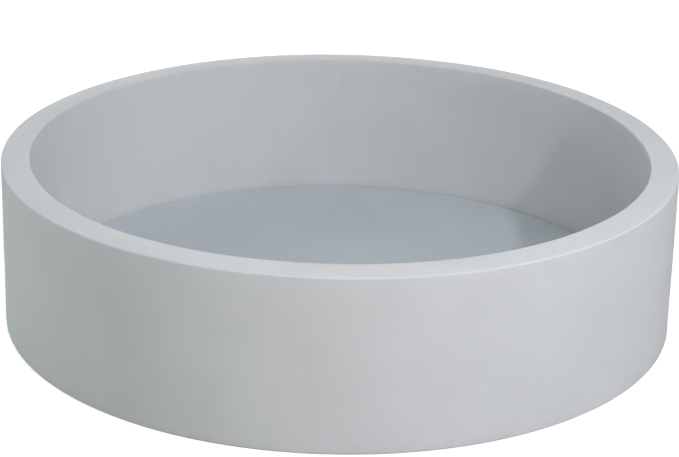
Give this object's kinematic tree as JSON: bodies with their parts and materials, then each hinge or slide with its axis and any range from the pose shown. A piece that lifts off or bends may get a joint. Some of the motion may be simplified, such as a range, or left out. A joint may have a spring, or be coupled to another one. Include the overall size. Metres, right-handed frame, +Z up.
{
  "type": "ball pit",
  "caption": "Round soft ball pit: a foam ring wall in a zipped knit cover with a loose, zipped floor mat that lifts out.",
  "frame": {"origin": "centre of the ring's underside, on the floor", "axes": "+Z up along the ring's own axis; the side that faces the camera in the picture is at -Y, and its right is +X"},
  "size_m": [1.2, 1.2, 0.3],
  "materials": {
    "knit_cover": "matte",
    "mat_cloth": "matte",
    "foam": "matte",
    "hook_pad": "matte",
    "loop_pad": "matte",
    "zip_tape": "matte",
    "zip_nylon": "satin",
    "zip_metal": "satin"
  },
  "bodies": {
    "ring": {"wall_cover": "knit_cover", "base_band_outer": "knit_cover", "base_band_inner": "knit_cover", "foam_arc_1": "foam", "foam_arc_2": "foam", "foam_arc_3": "foam", "foam_arc_4": "foam", "hook_pad_1": "hook_pad", "hook_pad_2": "hook_pad", "hook_pad_3": "hook_pad", "hook_pad_4": "hook_pad", "loop_pad_1": "loop_pad", "loop_pad_2": "loop_pad", "loop_pad_3": "loop_pad", "loop_pad_4": "loop_pad", "ring_zip_tape_outer": "zip_tape", "ring_zip_tape_inner": "zip_tape", "ring_zip_coil_outer": "zip_nylon", "ring_zip_coil_inner": "zip_nylon", "ring_zip_top_stop_outer": "zip_metal", "ring_zip_top_stop_inner": "zip_metal", "ring_zip_bottom_stop": "zip_metal", "ring_zip_end_patch": "knit_cover"},
    "ring_zip_slider": {"ring_zip_slider": "zip_metal"},
    "ring_zip_pull": {"ring_zip_pull": "zip_metal"},
    "mat": {"mat_top_panel": "mat_cloth", "mat_side_band": "mat_cloth", "mat_bottom_panel_back": "mat_cloth", "mat_bottom_panel_front": "mat_cloth", "mat_foam": "foam", "mat_zip_tape_back": "zip_tape", "mat_zip_tape_front": "zip_tape", "mat_zip_teeth_back": "zip_nylon", "mat_zip_teeth_front": "zip_nylon", "mat_zip_top_stop_back": "zip_metal", "mat_zip_top_stop_front": "zip_metal", "mat_zip_bottom_stop": "zip_metal"},
    "mat_zip_slider": {"mat_zip_slider": "zip_metal"},
    "mat_zip_pull": {"mat_zip_pull": "zip_metal"}
  },
  "joints": [
    {"name": "ring_zip_travel", "type": "hinge", "parent": "ring", "child": "ring_zip_slider", "pos_m": [0, 0, 0], "axis": [0, 0, 1], "range_deg": [0, 347.5], "deforming": ["ring_zip_coil_outer", "ring_zip_coil_inner"]},
    {"name": "ring_zip_pull_flip", "type": "hinge", "parent": "ring_zip_slider", "child": "ring_zip_pull", "pos_m": [-0.06214, 0.57124, 0.00159], "axis": [0.1081, -0.9941, 0], "range_deg": [0, 170]},
    {"name": "mat_lift", "type": "slide", "parent": "ring", "child": "mat", "axis": [0, 0, 1], "range_m": [0, 0.35]},
    {"name": "mat_zip_travel", "type": "slide", "parent": "mat", "child": "mat_zip_slider", "axis": [-1, 0, 0], "range_m": [0, 0.474], "deforming": ["mat_zip_teeth_back", "mat_zip_teeth_front"]},
    {"name": "mat_zip_pull_flip", "type": "hinge", "parent": "mat_zip_slider", "child": "mat_zip_pull", "pos_m": [0.2397, 0, 0.00186], "axis": [0, -1, 0], "range_deg": [0, 170]}
  ]
}
